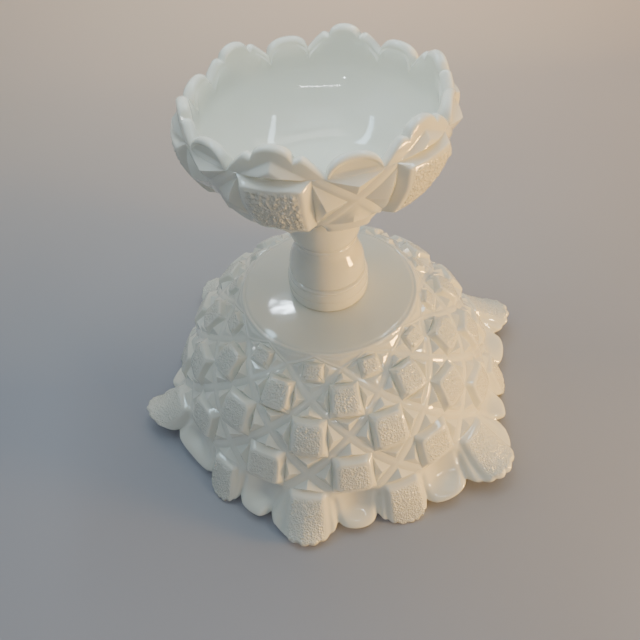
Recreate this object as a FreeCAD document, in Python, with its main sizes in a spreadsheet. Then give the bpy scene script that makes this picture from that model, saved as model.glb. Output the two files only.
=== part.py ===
"""Footed crimped bowl of pressed milk glass, standing upside down on its crimped rim.

The bowl is modelled in millimetres with +Z up. The origin is the centre of the plane that the
crimped rim stands on, so the hollow scalloped foot is at the top. Angles are counted from the
front (-Y) towards +X. The five pieces of glass, which the real bowl has fused face to face, are
five separate solids: the bowl, the ring and the spool of the stem, the knop, and the foot.
"""
import FreeCAD, Part
import math
import os

import Sketcher

DOCUMENT_NAME = "FootedCrimpedBowl"

# Driving dimensions: alias, value, meaning. Lengths are in millimetres and angles in degrees.
# Places along the bowl are counted in rows of the quilt: 0 is the first row and 1 the second.
DIMENSIONS = [
    ("column_count", 12, "columns of the quilted pattern round the bowl"),
    ("column_start", -11.5, "angle of the front column"),
    ("wall", 5.0, "thickness of the bowl's wall"),
    ("rim_wall", 4.2, "thickness of the bowl's glass at its rim"),
    ("disc_place", -0.45, "place of the smooth disc's edge, before the first row"),
    ("disc_radius", 47.0, "smooth disc under the bowl"),
    ("disc_level", 79.9, "height of the smooth disc"),
    ("floor_radius", 40.0, "flat floor inside the bowl"),
    ("floor_level", 72.0, "height of that floor"),
    ("row_a_radius", 51.2, "first row of the quilt, outer face"),
    ("row_a_level", 74.2, "height of the first row"),
    ("row_b_radius", 64.1, "second row"),
    ("row_b_level", 65.4, "height of the second row"),
    ("row_c_radius", 76.6, "third row"),
    ("row_c_level", 51.9, "height of the third row"),
    ("row_d_radius", 87.0, "fourth row, where the skirt begins"),
    ("row_d_level", 32.4, "height of the fourth row"),
    ("row_e_radius", 95.4, "last row, on the skirt"),
    ("row_e_level", 15.2, "height of the last row before crimping"),
    ("rim_place", 4.9, "place of the rim"),
    ("rim_radius", 103.0, "plain parts of the rim, which touch the table"),
    ("crimp_count", 6, "outward lobes pinched into the rim"),
    ("crimp_place", 2.5, "place where the crimping begins"),
    ("crimp_growth", 2.0, "power with which the crimping grows towards the rim"),
    ("lobe_reach", 10.7, "how far a middling lobe stands out past the plain rim"),
    ("lobe_spread", 4.7, "how much that reach varies from lobe to lobe"),
    ("lobe_spread_angle", 78.5, "angle midway between the two longest lobes"),
    ("lobe_sharpness", 1.6, "power that narrows the lobes"),
    ("ring_points", 72, "points that each ring of the shell passes through"),
    ("block_relief", 3.2, "height of the raised blocks"),
    ("block_root", 2.0, "how deep a block's root goes into the wall"),
    ("block_taper", 0.72, "top of a block as a share of its root"),
    ("block_half_width", 0.225, "half a block's width, in columns"),
    ("block_half_height", 0.46, "half a block's height, in rows"),
    ("small_half_width", 0.18, "the same for the small blocks of the first row"),
    ("small_half_height", 0.24, "half their height, in rows"),
    ("stem_base_radius", 20.7, "ring at the bowl end of the stem"),
    ("stem_base_shoulder", 19.6, "top and bottom edge of that ring"),
    ("stem_base_round", 1.6, "height of that ring's rounded edge"),
    ("spool_level", 94.3, "height where the spool stands on its ring"),
    ("spool_radius", 19.2, "widest part of the spool"),
    ("spool_neck_level", 103.0, "height where the spool starts to narrow"),
    ("waist_radius", 14.9, "narrowest part of the stem"),
    ("spool_curve", 14.0, "radius of the spool's shoulder"),
    ("knop_level", 113.6, "height where the knop stands on the spool"),
    ("knop_lip_radius", 15.6, "lip at the narrow end of the knop"),
    ("knop_lip_top", 115.4, "upper edge of that lip"),
    ("knop_radius", 18.1, "widest part of the knop"),
    ("knop_widest_level", 127.0, "height of the widest part"),
    ("knop_curve", 30.0, "radius of the knop's side"),
    ("foot_level", 144.0, "height where the foot stands on the knop"),
    ("foot_neck_radius", 18.0, "foot where it meets the knop"),
    ("foot_knee_radius", 35.6, "end of the foot's sloping underside"),
    ("foot_knee_level", 149.8, "height of that end"),
    ("foot_belly_radius", 52.6, "widest part of the foot's wall"),
    ("foot_belly_level", 176.0, "height of the widest part"),
    ("foot_curve", 31.0, "radius of the foot's bend, outside"),
    ("foot_tip_radius", 51.2, "outer face of the foot's tips"),
    ("total_height", 191.0, "height of the foot's tips"),
    ("foot_hollow_radius", 20.0, "flat middle of the hollow in the foot"),
    ("foot_hollow_level", 149.5, "height of that flat middle"),
    ("foot_hollow_knee_radius", 33.4, "end of the hollow's sloping part"),
    ("foot_hollow_knee_level", 154.2, "height of that end"),
    ("foot_hollow_belly_radius", 47.8, "widest part of the hollow"),
    ("foot_hollow_curve", 27.0, "radius of the hollow's bend"),
    ("foot_mouth_radius", 47.0, "mouth of the hollow"),
    ("foot_columns", 6, "columns of the foot's pattern and rim"),
    ("foot_start", -17.5, "angle of the front block on the foot"),
    ("scallop_width", 15.6, "width of a round scallop on the foot's rim"),
    ("scallop_level", 182.2, "height of the notches beside a scallop"),
    ("scallop_rise", 5.0, "rise of a round scallop above its notches"),
    ("tip_width", 5.0, "flat top of a foot tip"),
    ("shoulder_width", 20.0, "width of the arch below a foot tip"),
    ("shoulder_level", 187.6, "height of that arch's shoulders"),
    ("foot_block_width", 27.0, "blocks on the foot, along the rim"),
    ("foot_block_low", 159.0, "lower edge of the foot's blocks"),
    ("foot_block_high", 180.5, "upper edge of the foot's blocks"),
    ("cut_clearance", 1.0, "how far a cutting shape runs past the glass"),
]

# Cells that are worked out from other cells.
FORMULAS = [
    ("stem_base_low", "=disc_level + stem_base_round", "lower end of the ring's plain side"),
    ("stem_base_high", "=spool_level - stem_base_round", "upper end of the ring's plain side"),
    ("tip_chord", "=foot_tip_radius * sin(180 / foot_columns)", "tip's distance beside a scallop"),
    ("tip_lean", "=cos(180 / foot_columns) / 2", "half a tip's width as seen from a scallop"),
    ("gap_top", "=total_height + cut_clearance", "top of the cut between two tips"),
    ("gap_mouth", "=tip_chord - tip_width * tip_lean", "half the cut's width at the tips"),
    ("gap_shoulder", "=tip_chord - shoulder_width * tip_lean", "half its width at the shoulders"),
    ("gap_notch", "=scallop_width / 2", "half its width at the notches"),
    ("scallop_curve", "=(scallop_rise ^ 2 + gap_notch ^ 2) / (2 * scallop_rise)", "scallop's radius"),
    ("gap_depth", "=foot_belly_radius + cut_clearance", "how far from the axis the cut reaches"),
    ("gap_turn", "=foot_start + 180 / foot_columns", "angle of the first scallop"),
]


class Sizes:
    """Reads the sheet's cells by alias, as plain numbers."""

    def __init__(self, sheet):
        self.sheet = sheet

    def __getattr__(self, alias):
        return float(self.sheet.get(alias))


def make_sheet(doc):
    """Write the dimensions and formulas to a spreadsheet, one alias a row."""
    sheet = doc.addObject("Spreadsheet::Sheet", "Sheet")
    for row, (alias, content, meaning) in enumerate(DIMENSIONS + FORMULAS, start=1):
        sheet.set(f"A{row}", meaning)
        sheet.set(f"B{row}", str(content))
        sheet.setAlias(f"B{row}", alias)
    doc.recompute()
    return sheet


# ---------------------------------------------------------------- bound sketches

def new_sketch(body, name):
    """A sketch on the body's own upright XZ plane."""
    plane = next(item for item in body.Origin.OriginFeatures if item.Role == "XZ_Plane")
    sketch = body.newObject("Sketcher::SketchObject", name)
    sketch.AttachmentSupport = [(plane, "")]
    sketch.MapMode = "FlatFace"
    return sketch


def arc_centre(start, end, radius, side):
    """The centre of an arc that bulges to the left (+1) or right (-1) of its chord."""
    chord = end - start
    reach = math.sqrt(radius**2 - (chord.Length / 2) ** 2)
    left = FreeCAD.Vector(-chord.y, chord.x, 0).normalize()
    return (start + end) * 0.5 - left * (side * reach)


def arc_between(start, end, radius, side):
    """That arc, as a curve for a sketch."""
    centre = arc_centre(start, end, radius, side)
    outwards = ((start + end) * 0.5 - centre).normalize()
    return Part.Arc(start, centre + outwards * radius, end)


def corner_point(size, corners, index):
    """Where a corner of an outline is, worked out from the sheet."""
    across, up = corners[index]
    if across == "mirror":
        twin = corner_point(size, corners, up)
        return FreeCAD.Vector(-twin.x, twin.y, 0)
    if across is None:
        return FreeCAD.Vector(0, getattr(size, up), 0)
    return FreeCAD.Vector(getattr(size, across), getattr(size, up), 0)


def nearest_end(sketch, edge, point):
    """1 if the edge's first end is at the point, or 2 if its second end is."""
    gaps = [(sketch.getPoint(edge, end) - point).Length for end in (1, 2)]
    return 1 if gaps[0] < gaps[1] else 2


def bind(sketch, sheet, kind, arguments, alias):
    """Add a dimensional constraint and drive it from the sheet."""
    value = getattr(Sizes(sheet), alias)
    index = sketch.addConstraint(Sketcher.Constraint(kind, *arguments, value))
    name = f"{kind}_{index}"
    sketch.renameConstraint(index, name)
    sketch.setExpression(f"Constraints.{name}", f"{sheet.Name}.{alias}")


def draw_outline(sketch, sheet, corners, arcs):
    """Draw a closed outline whose corners and arc radii are bound to the sheet.

    A corner is (radius alias, height alias), (None, height alias) on the axis, or ("mirror", index)
    for the mirror image of another corner. arcs maps the index of a corner to (radius alias, side)
    when the edge that leaves it is an arc.
    """
    size = Sizes(sheet)
    points = [corner_point(size, corners, index) for index in range(len(corners))]
    edges = []
    for index, start in enumerate(points):
        end = points[(index + 1) % len(points)]
        curve = Part.LineSegment(start, end)
        if index in arcs:
            alias, side = arcs[index]
            curve = arc_between(start, end, getattr(size, alias), side)
        edges.append(sketch.addGeometry(curve, False))
    ends = [nearest_end(sketch, edge, points[index]) for index, edge in enumerate(edges)]
    for index, edge in enumerate(edges):
        following = (index + 1) % len(edges)
        other_end = 3 - ends[index]
        joint = ("Coincident", edge, other_end, edges[following], ends[following])
        sketch.addConstraint(Sketcher.Constraint(*joint))
    for index, (across, up) in enumerate(corners):
        vertex = (edges[index], ends[index])
        if across == "mirror":
            twin = (edges[up], ends[up])
            sketch.addConstraint(Sketcher.Constraint("Symmetric", *vertex, *twin, -2))
            continue
        if across is None:
            sketch.addConstraint(Sketcher.Constraint("PointOnObject", *vertex, -2))
        else:
            bind(sketch, sheet, "DistanceX", (-1, 1, *vertex), across)
        bind(sketch, sheet, "DistanceY", (-1, 1, *vertex), up)
    for index, (alias, _side) in arcs.items():
        bind(sketch, sheet, "Radius", (edges[index],), alias)


def turned_body(doc, sheet, name, corners, arcs):
    """A body turned about the vertical axis from a bound outline."""
    body = doc.addObject("PartDesign::Body", name)
    sketch = new_sketch(body, f"{name}_outline")
    draw_outline(sketch, sheet, corners, arcs)
    turned = body.newObject("PartDesign::Revolution", f"{name}_turned")
    turned.Profile = sketch
    turned.ReferenceAxis = (sketch, ["V_Axis"])
    turned.Angle = 360
    doc.recompute()
    return body


# ---------------------------------------------------------------- pressed glass

def polar(radius, degrees, level):
    """A point at an angle counted from the front (-Y) towards +X."""
    angle = math.radians(degrees)
    return FreeCAD.Vector(radius * math.sin(angle), -radius * math.cos(angle), level)


def raised_block(size, surface, across, along, half_width, half_height):
    """A tapered block that stands on a surface, as a lofted solid.

    surface(across, along) gives a point of the outer face, and the block is centred there.
    """
    corners = [(-1, -1), (1, -1), (1, 1), (-1, 1)]
    centre = surface(across, along)
    feet = [surface(across + half_width * x, along + half_height * y) for x, y in corners]
    middle = (feet[0] + feet[1] + feet[2] + feet[3]) * 0.25
    normal = (feet[2] - feet[0]).cross(feet[3] - feet[1]).normalize()
    if normal.dot(FreeCAD.Vector(centre.x, centre.y, 0)) < 0:
        normal = -normal
    level_feet = [foot - normal * (foot - middle).dot(normal) for foot in feet]
    lift = normal * ((centre - middle).dot(normal) + size.block_relief)
    roots = [foot - normal * size.block_root for foot in level_feet]
    tops = [middle + (foot - middle) * size.block_taper + lift for foot in level_feet]
    wires = [Part.makePolygon(ring + ring[:1]) for ring in (roots, tops)]
    return Part.makeLoft(wires, True, True)


def fused_with_blocks(doc, name, shell, blocks):
    """The named piece of glass: a shell with its raised blocks."""
    pattern = doc.addObject("Part::Feature", f"{name}_blocks")
    pattern.Shape = Part.makeCompound(blocks)
    piece = doc.addObject("Part::MultiFuse", name)
    piece.Shapes = [shell, pattern]
    return piece


def ring_wire(points):
    """A smooth closed ring through the points."""
    curve = Part.BSplineCurve()
    curve.interpolate(Points=points, PeriodicFlag=True)
    return Part.Wire(curve.toShape())


def shell_solid(outer_rings, inner_rings):
    """A closed solid between a stack of outer rings and a stack of inner ones.

    The first ring of each stack is a flat circle, and the last rings are the rim's two edges.
    """
    outer = Part.makeLoft(outer_rings, False, False)
    inner = Part.makeLoft(inner_rings, False, False)
    rim = Part.makeLoft([outer_rings[-1], inner_rings[-1]], False, True)
    caps = [Part.Face(outer_rings[0]), Part.Face(inner_rings[0])]
    shell = Part.makeShell(outer.Faces + inner.Faces + rim.Faces + caps)
    shell.sewShape()
    solid = Part.makeSolid(Part.Shell(shell.Faces))
    if solid.Volume < 0:
        solid.reverse()
    return solid


class BowlShape:
    """The outer face of the bowl: rows of the quilt, then a skirt crimped towards the rim."""

    def __init__(self, size):
        self.size = size
        self.pitch = 360 / size.column_count
        self.stations = [(size.disc_place, size.disc_radius, size.disc_level)]
        for place, letter in enumerate("abcde"):
            radius = getattr(size, f"row_{letter}_radius")
            level = getattr(size, f"row_{letter}_level")
            self.stations.append((place, radius, level))
        self.stations.append((size.rim_place, size.rim_radius, 0.0))
        self.slant = math.hypot(size.rim_radius - size.row_d_radius, size.row_d_level)

    def rim_shift(self, degrees):
        """How far crimping moves the rim outwards, and so upwards: the glass keeps its length."""
        size = self.size
        wave = (1 + math.cos(math.radians(size.crimp_count * (degrees - size.column_start)))) / 2
        uneven = math.cos(math.radians(2 * (degrees - size.lobe_spread_angle)))
        reach = (size.lobe_reach + size.lobe_spread * uneven) * wave**size.lobe_sharpness
        run = size.rim_radius + reach - size.row_d_radius
        return reach, size.row_d_level - math.sqrt(self.slant**2 - run**2)

    def plain_point(self, along):
        """Radius and height of the uncrimped face at a place along it."""
        low, high = self.stations[-2:]
        for start, end in zip(self.stations, self.stations[1:]):
            if along <= end[0]:
                low, high = start, end
                break
        share = (along - low[0]) / (high[0] - low[0])
        return low[1] + share * (high[1] - low[1]), low[2] + share * (high[2] - low[2])

    def point(self, across, along):
        """A point of the outer face, at a count of columns and a place along it."""
        size = self.size
        degrees = size.column_start + self.pitch * across
        radius, level = self.plain_point(along)
        growth = (along - size.crimp_place) / (size.rim_place - size.crimp_place)
        weight = max(0.0, growth) ** size.crimp_growth
        reach, lift = self.rim_shift(degrees)
        return polar(radius + weight * reach, degrees, level + weight * lift)

    def ring(self, along, inwards, downwards):
        """A closed ring at a place along the face, moved inwards and downwards."""
        count = int(self.size.ring_points)
        points = []
        for step in range(count):
            point = self.point(step * self.size.column_count / count, along)
            radius = math.hypot(point.x, point.y)
            scale = (radius - inwards) / radius
            points.append(FreeCAD.Vector(point.x * scale, point.y * scale, point.z - downwards))
        return ring_wire(points)

    def shell(self):
        """The bowl's plain shell, with a flat disc outside and a flat floor inside."""
        size = self.size
        outer = [self.ring(place, 0, 0) for place, _radius, _level in self.stations]
        floor_inset = size.disc_radius - size.floor_radius
        inner = [self.ring(size.disc_place, floor_inset, size.disc_level - size.floor_level)]
        for before, here, after in zip(self.stations, self.stations[1:], self.stations[2:]):
            slope = FreeCAD.Vector(after[1] - before[1], after[2] - before[2], 0).normalize()
            inner.append(self.ring(here[0], -slope.y * size.wall, slope.x * size.wall))
        inner.append(self.ring(size.rim_place, size.rim_wall, 0))
        return shell_solid(outer, inner)

    def blocks(self):
        """The raised blocks: each row is shifted by half a column from the last."""
        size = self.size
        blocks = []
        for place in range(5):
            half_width = size.block_half_width if place else size.small_half_width
            half_height = size.block_half_height if place else size.small_half_height
            for column in range(int(size.column_count)):
                across = column + 0.5 * (place % 2)
                blocks.append(
                    raised_block(size, self.point, across, place, half_width, half_height)
                )
        return blocks


def make_bowl(doc, sheet):
    """The bowl: a crimped shell with five rows of raised blocks."""
    shape = BowlShape(Sizes(sheet))
    shell = doc.addObject("Part::Feature", "bowl_shell")
    shell.Shape = shape.shell()
    return fused_with_blocks(doc, "bowl", shell, shape.blocks())


def make_stem_base(doc, sheet):
    """The plain ring between the smooth disc and the spool."""
    corners = [
        (None, "disc_level"),
        ("stem_base_shoulder", "disc_level"),
        ("stem_base_radius", "stem_base_low"),
        ("stem_base_radius", "stem_base_high"),
        ("stem_base_shoulder", "spool_level"),
        (None, "spool_level"),
    ]
    return turned_body(doc, sheet, "stem_base", corners, {})


def make_spool(doc, sheet):
    """The waisted spool of the stem."""
    corners = [
        (None, "spool_level"),
        ("spool_radius", "spool_level"),
        ("spool_radius", "spool_neck_level"),
        ("waist_radius", "knop_level"),
        (None, "knop_level"),
    ]
    return turned_body(doc, sheet, "stem_spool", corners, {2: ("spool_curve", -1)})


def make_knop(doc, sheet):
    """The rounded knop between the spool and the foot, with a lip at its narrow end."""
    corners = [
        (None, "knop_level"),
        ("knop_lip_radius", "knop_level"),
        ("knop_lip_radius", "knop_lip_top"),
        ("knop_radius", "knop_widest_level"),
        ("foot_neck_radius", "foot_level"),
        (None, "foot_level"),
    ]
    return turned_body(doc, sheet, "stem_knop", corners, {2: ("knop_curve", -1)})


def make_foot_cup(doc, sheet):
    """The plain cup of the foot, with its scalloped rim cut out between the tips."""
    corners = [
        (None, "foot_level"),
        ("foot_neck_radius", "foot_level"),
        ("foot_knee_radius", "foot_knee_level"),
        ("foot_belly_radius", "foot_belly_level"),
        ("foot_tip_radius", "total_height"),
        ("foot_mouth_radius", "total_height"),
        ("foot_hollow_belly_radius", "foot_belly_level"),
        ("foot_hollow_knee_radius", "foot_hollow_knee_level"),
        ("foot_hollow_radius", "foot_hollow_level"),
        (None, "foot_hollow_level"),
    ]
    arcs = {2: ("foot_curve", -1), 6: ("foot_hollow_curve", 1)}
    cup = turned_body(doc, sheet, "foot_cup", corners, arcs)
    uncut = cup.Shape.Volume

    gap = new_sketch(cup, "foot_gap")
    gap_corners = [
        ("gap_mouth", "gap_top"),
        ("gap_mouth", "total_height"),
        ("gap_shoulder", "shoulder_level"),
        ("gap_notch", "scallop_level"),
        ("mirror", 3),
        ("mirror", 2),
        ("mirror", 1),
        ("mirror", 0),
    ]
    draw_outline(gap, sheet, gap_corners, {3: ("scallop_curve", -1)})
    cut = cup.newObject("PartDesign::Pocket", "foot_scallop")
    cut.Profile = gap
    cut.setExpression("Length", f"{sheet.Name}.gap_depth")
    doc.recompute()
    pattern = cup.newObject("PartDesign::PolarPattern", "foot_scallops")
    pattern.Originals = [cut]
    pattern.Axis = (gap, ["V_Axis"])
    pattern.Angle = 360
    pattern.setExpression("Occurrences", f"{sheet.Name}.foot_columns")
    cup.Tip = pattern
    cup.setExpression("Placement.Rotation.Angle", f"{sheet.Name}.gap_turn")
    doc.recompute()
    if cup.Shape.Volume >= cut.Shape.Volume or cut.Shape.Volume >= uncut:
        raise RuntimeError("the scallops were not cut from the foot")
    return cup


def make_foot(doc, sheet):
    """The foot: the scalloped cup with a ring of raised blocks."""
    size = Sizes(sheet)
    knee = FreeCAD.Vector(size.foot_knee_radius, size.foot_knee_level, 0)
    belly = FreeCAD.Vector(size.foot_belly_radius, size.foot_belly_level, 0)
    tip = FreeCAD.Vector(size.foot_tip_radius, size.total_height, 0)
    bend = arc_centre(knee, belly, size.foot_curve, -1)
    pitch = 360 / size.foot_columns

    def surface(across, level):
        """The outer face of the foot, at a count of columns and a height."""
        if level < belly.y:
            radius = bend.x + math.sqrt(size.foot_curve**2 - (level - bend.y) ** 2)
        else:
            radius = belly.x + (tip.x - belly.x) * (level - belly.y) / (tip.y - belly.y)
        return polar(radius, size.foot_start + pitch * across, level)

    middle = (size.foot_block_low + size.foot_block_high) / 2
    half_height = (size.foot_block_high - size.foot_block_low) / 2
    half_width = math.degrees(size.foot_block_width / 2 / belly.x) / pitch
    blocks = [
        raised_block(size, surface, column, middle, half_width, half_height)
        for column in range(int(size.foot_columns))
    ]
    return fused_with_blocks(doc, "foot", make_foot_cup(doc, sheet), blocks)


def check_document(doc):
    """Stop if any object of the document is in error."""
    for item in doc.Objects:
        if "Invalid" in item.State or "Error" in item.State:
            raise RuntimeError(f"{item.Name} failed: {item.State}")


def write_part(node):
    """Write one sub-part's shape under its label, once it is known to be sound."""
    shape = node.Shape
    if shape.isNull() or not shape.isValid() or len(shape.Solids) != 1:
        raise RuntimeError(f"{node.Label} has no single valid solid")
    shape.exportStep(f"parts/{node.Label}.step")
    print(node.Label, round(shape.Volume), "mm3", shape.BoundBox)


def main():
    doc = FreeCAD.newDocument(DOCUMENT_NAME)
    sheet = make_sheet(doc)
    makers = (make_bowl, make_stem_base, make_spool, make_knop, make_foot)
    nodes = [make(doc, sheet) for make in makers]
    doc.recompute()
    check_document(doc)
    os.makedirs("parts", exist_ok=True)
    for node in nodes:
        write_part(node)


main()
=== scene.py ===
"""Looks of a footed, crimped milk-glass bowl that stands upside down on its rim.

Lengths in this script are in millimetres until a mesh is made, and angles are counted from the
front (-Y) towards +X. The pressed pattern is real geometry: every cell of the quilt has its
stippled block, small pyramids and flat bands, laid on the crimped outer face.
"""
import math

import bmesh
import bpy
import numpy as np
from mathutils import Matrix, Vector


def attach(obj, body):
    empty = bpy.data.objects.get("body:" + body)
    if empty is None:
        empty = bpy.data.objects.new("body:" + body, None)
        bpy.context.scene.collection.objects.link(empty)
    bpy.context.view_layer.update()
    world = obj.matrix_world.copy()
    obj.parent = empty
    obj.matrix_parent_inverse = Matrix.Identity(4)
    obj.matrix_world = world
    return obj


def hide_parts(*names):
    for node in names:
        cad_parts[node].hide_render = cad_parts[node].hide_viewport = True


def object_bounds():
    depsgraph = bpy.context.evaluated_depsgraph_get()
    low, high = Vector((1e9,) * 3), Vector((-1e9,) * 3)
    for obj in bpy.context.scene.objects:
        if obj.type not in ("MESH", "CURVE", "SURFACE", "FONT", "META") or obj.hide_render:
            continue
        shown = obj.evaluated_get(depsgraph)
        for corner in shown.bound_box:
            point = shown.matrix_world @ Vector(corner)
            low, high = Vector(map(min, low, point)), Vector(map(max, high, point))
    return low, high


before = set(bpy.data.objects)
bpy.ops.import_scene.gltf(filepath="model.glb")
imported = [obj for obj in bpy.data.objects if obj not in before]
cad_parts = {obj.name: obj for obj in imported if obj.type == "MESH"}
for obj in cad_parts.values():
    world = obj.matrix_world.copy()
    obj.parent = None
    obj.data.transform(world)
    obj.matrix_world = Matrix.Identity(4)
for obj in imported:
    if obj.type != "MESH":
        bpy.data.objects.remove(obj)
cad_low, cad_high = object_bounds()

MM = 0.001
BODY = "root"
SLOT = "milk_glass"
WELD = 0.004             # points nearer to each other than this become one


# ---------------- mesh building

class Skin:
    """Collects patches given in surface coordinates, to be made into one mesh.

    A vertex is (across, along, height, stipple): its place on a surface, how far it stands off
    that surface, and how strongly the fine stippling shows there.
    """

    def __init__(self):
        self.points = []
        self.faces = []
        self.count = 0
        self.surface = None
        self.surfaces = []

    def add(self, points, faces):
        """A patch from its own points and its faces, which count from its own first point."""
        points = np.asarray(points, float).reshape(-1, 4)
        self.points.append(points)
        self.surfaces.append(self.surface)
        self.faces.extend([tuple(index + self.count for index in face) for face in faces])
        self.count += len(points)

    def grid(self, rows):
        """A patch from a list of rows that have the same number of points."""
        rows = np.asarray(rows, float)
        height, width = rows.shape[:2]
        faces = []
        for row in range(height - 1):
            base = row * width
            for column in range(width - 1):
                here = base + column
                faces.append((here, here + 1, here + width + 1, here + width))
        self.add(rows.reshape(-1, 4), faces)

    def stitch(self, first, second):
        """A strip of triangles between two lines of points with different counts."""
        first, second = np.asarray(first, float), np.asarray(second, float)
        ends = (len(first) - 1, len(second) - 1)
        faces = []
        low, high = 0, 0
        while low < ends[0] or high < ends[1]:
            share_low = (low + 1) / max(ends[0], 1)
            share_high = (high + 1) / max(ends[1], 1)
            if high >= ends[1] or (low < ends[0] and share_low <= share_high):
                faces.append((low, low + 1, len(first) + high))
                low += 1
            else:
                faces.append((low, len(first) + high + 1, len(first) + high))
                high += 1
        self.add(np.vstack([first, second]), faces)

    def triangle(self, one, two, three, count):
        """A triangle divided evenly, so that its edges match a line of the same count."""
        one, two, three = (np.asarray(corner, float) for corner in (one, two, three))
        points, index, faces = [], {}, []
        for row in range(count + 1):
            for step in range(count + 1 - row):
                index[row, step] = len(points)
                share = np.array([count - row - step, step, row]) / count
                points.append(share[0] * one + share[1] * two + share[2] * three)
        for row in range(count):
            for step in range(count - row):
                here, right, up = index[row, step], index[row, step + 1], index[row + 1, step]
                faces.append((here, right, up))
                if step < count - row - 1:
                    faces.append((right, index[row + 1, step + 1], up))
        self.add(points, faces)

    def positions(self):
        """Every vertex in millimetres, and its stippling."""
        placed = [None] * len(self.points)
        for surface in set(self.surfaces):
            chosen = [index for index, used in enumerate(self.surfaces) if used is surface]
            together = surface(np.vstack([self.points[index] for index in chosen]))
            sizes = np.cumsum([len(self.points[index]) for index in chosen])[:-1]
            for index, part in zip(chosen, np.split(together, sizes)):
                placed[index] = part
        return np.vstack(placed), np.vstack(self.points)[:, 3]


def line(start, end, count):
    """Evenly spaced points from start to end."""
    start, end = np.asarray(start, float), np.asarray(end, float)
    share = np.linspace(0, 1, count + 1)[:, None]
    return start + (end - start) * share


def path(*corners_and_counts):
    """A line through corners: corner, count, corner, count, corner ..."""
    pieces = []
    for place in range(0, len(corners_and_counts) - 2, 2):
        start, count, end = corners_and_counts[place:place + 3]
        pieces.append(line(start, end, count)[:-1])
    pieces.append(np.asarray(corners_and_counts[-1], float)[None, :])
    return np.vstack(pieces)


def make_object(name, node, skin, material, smooth_degrees=38):
    """One closed mesh from a skin, in the place of a CAD node."""
    positions, strength = skin.positions()
    mesh = bpy.data.meshes.new(name)
    mesh.from_pydata((positions * MM).tolist(), [], skin.faces)
    stipple = mesh.attributes.new("stipple", "FLOAT", "POINT")
    stipple.data.foreach_set("value", strength.astype(np.float32))
    work = bmesh.new()
    work.from_mesh(mesh)
    bmesh.ops.remove_doubles(work, verts=work.verts, dist=WELD * MM)
    bmesh.ops.dissolve_degenerate(work, edges=work.edges, dist=WELD * MM * 0.5)
    bmesh.ops.recalc_face_normals(work, faces=work.faces)
    open_edges = [edge for edge in work.edges if not edge.is_manifold]
    print(f"{name}: {len(work.verts)} points, {len(work.faces)} faces, {len(open_edges)} open edges")
    work.to_mesh(mesh)
    work.free()
    mesh.shade_smooth()
    mesh.set_sharp_from_angle(angle=math.radians(smooth_degrees))
    mesh.materials.append(material)
    piece = bpy.data.objects.new(name, mesh)
    bpy.context.scene.collection.objects.link(piece)
    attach(piece, BODY)
    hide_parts(node)
    return piece


def polar(radius, degrees, level):
    """Points at angles counted from the front towards +X."""
    angle = np.radians(degrees)
    return np.stack([radius * np.sin(angle), -radius * np.cos(angle), level], axis=-1)


def ring_of(places, second, third):
    """Surface coordinates at places on a ring, with one value for all or one for each place."""
    return np.stack([places, 0 * places + second, 0 * places + third, 0 * places], axis=1)


def smoothstep(low, high, value):
    """A smooth step from 0 at low to 1 at high."""
    share = np.clip((value - low) / (high - low), 0.0, 1.0)
    return share * share * (3 - 2 * share)


def hermite(places, values, at):
    """A smooth curve through values at places, with Catmull-Rom slopes."""
    places, values = np.asarray(places, float), np.asarray(values, float)
    slopes = np.gradient(values, places)
    index = np.clip(np.searchsorted(places, at) - 1, 0, len(places) - 2)
    width = places[index + 1] - places[index]
    share = (at - places[index]) / width
    square, cube = share**2, share**3
    return (
        (2 * cube - 3 * square + 1) * values[index]
        + (cube - 2 * square + share) * width * slopes[index]
        + (3 * square - 2 * cube) * values[index + 1]
        + (cube - square) * width * slopes[index + 1]
    )


# ---------------- the bowl's outer face

COLUMNS = 12
COLUMN_START = -11.5
PITCH = 360 / COLUMNS

# Rows of the quilt are one unit apart along the face, and the disc ends at -0.5.
ROW_PLACES = [-0.5, 0, 1, 2, 3, 4]
ROW_RADII = [47.6, 51.7, 64.1, 76.6, 87.0, 95.9]
ROW_LEVELS = [78.6, 74.0, 65.4, 51.9, 32.4, 15.4]

# From SKIRT_PLACE on, the face is a skirt with SKIRT_ROW to a row, bent evenly over its length.
SKIRT_PLACE = 3.0
SKIRT_ROW = 20.0
SKIRT_LENGTH = 38.0
SKIRT_START_SLOPE = 62.0
SKIRT_LEAN_POWER = 1.5
NEARLY_STRAIGHT = 1e-6   # a bend smaller than this is taken as this, so that nothing divides by 0

# Mean slope of the skirt in degrees below level, for each column and each scoop after it. A low
# value is a lobe that flares out, and a high one a part that stands steep on the table.
SKIRT_SLOPES = [
    49, 64, 59.5, 50, 31, 52, 59, 50, 27, 58, 59.5, 63,
    44, 63, 59.5, 57, 33, 58, 60, 60, 33, 64, 59, 60,
]

# How far the skirt leans sideways at its edge, in degrees, at the same places.
SKIRT_LEANS = [
    0, 0.6, 0.5, -0.5, -1.0, -1.0, -1.0, -2.5, -4.0, -2.0, 0, -0.8,
    0, 1.0, 0.4, 0, 0.8, 0.4, -0.6, -1.5, -4.5, -2.0, 0.8, 0.8,
]


def round_the_rim(values, degrees):
    """A smooth periodic curve through values that are evenly spaced from the first column."""
    count = len(values)
    places = np.arange(-2, count + 3) * 360 / count
    repeated = [values[index % count] for index in range(-2, count + 3)]
    return hermite(places, repeated, np.mod(degrees - COLUMN_START, 360))


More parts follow.
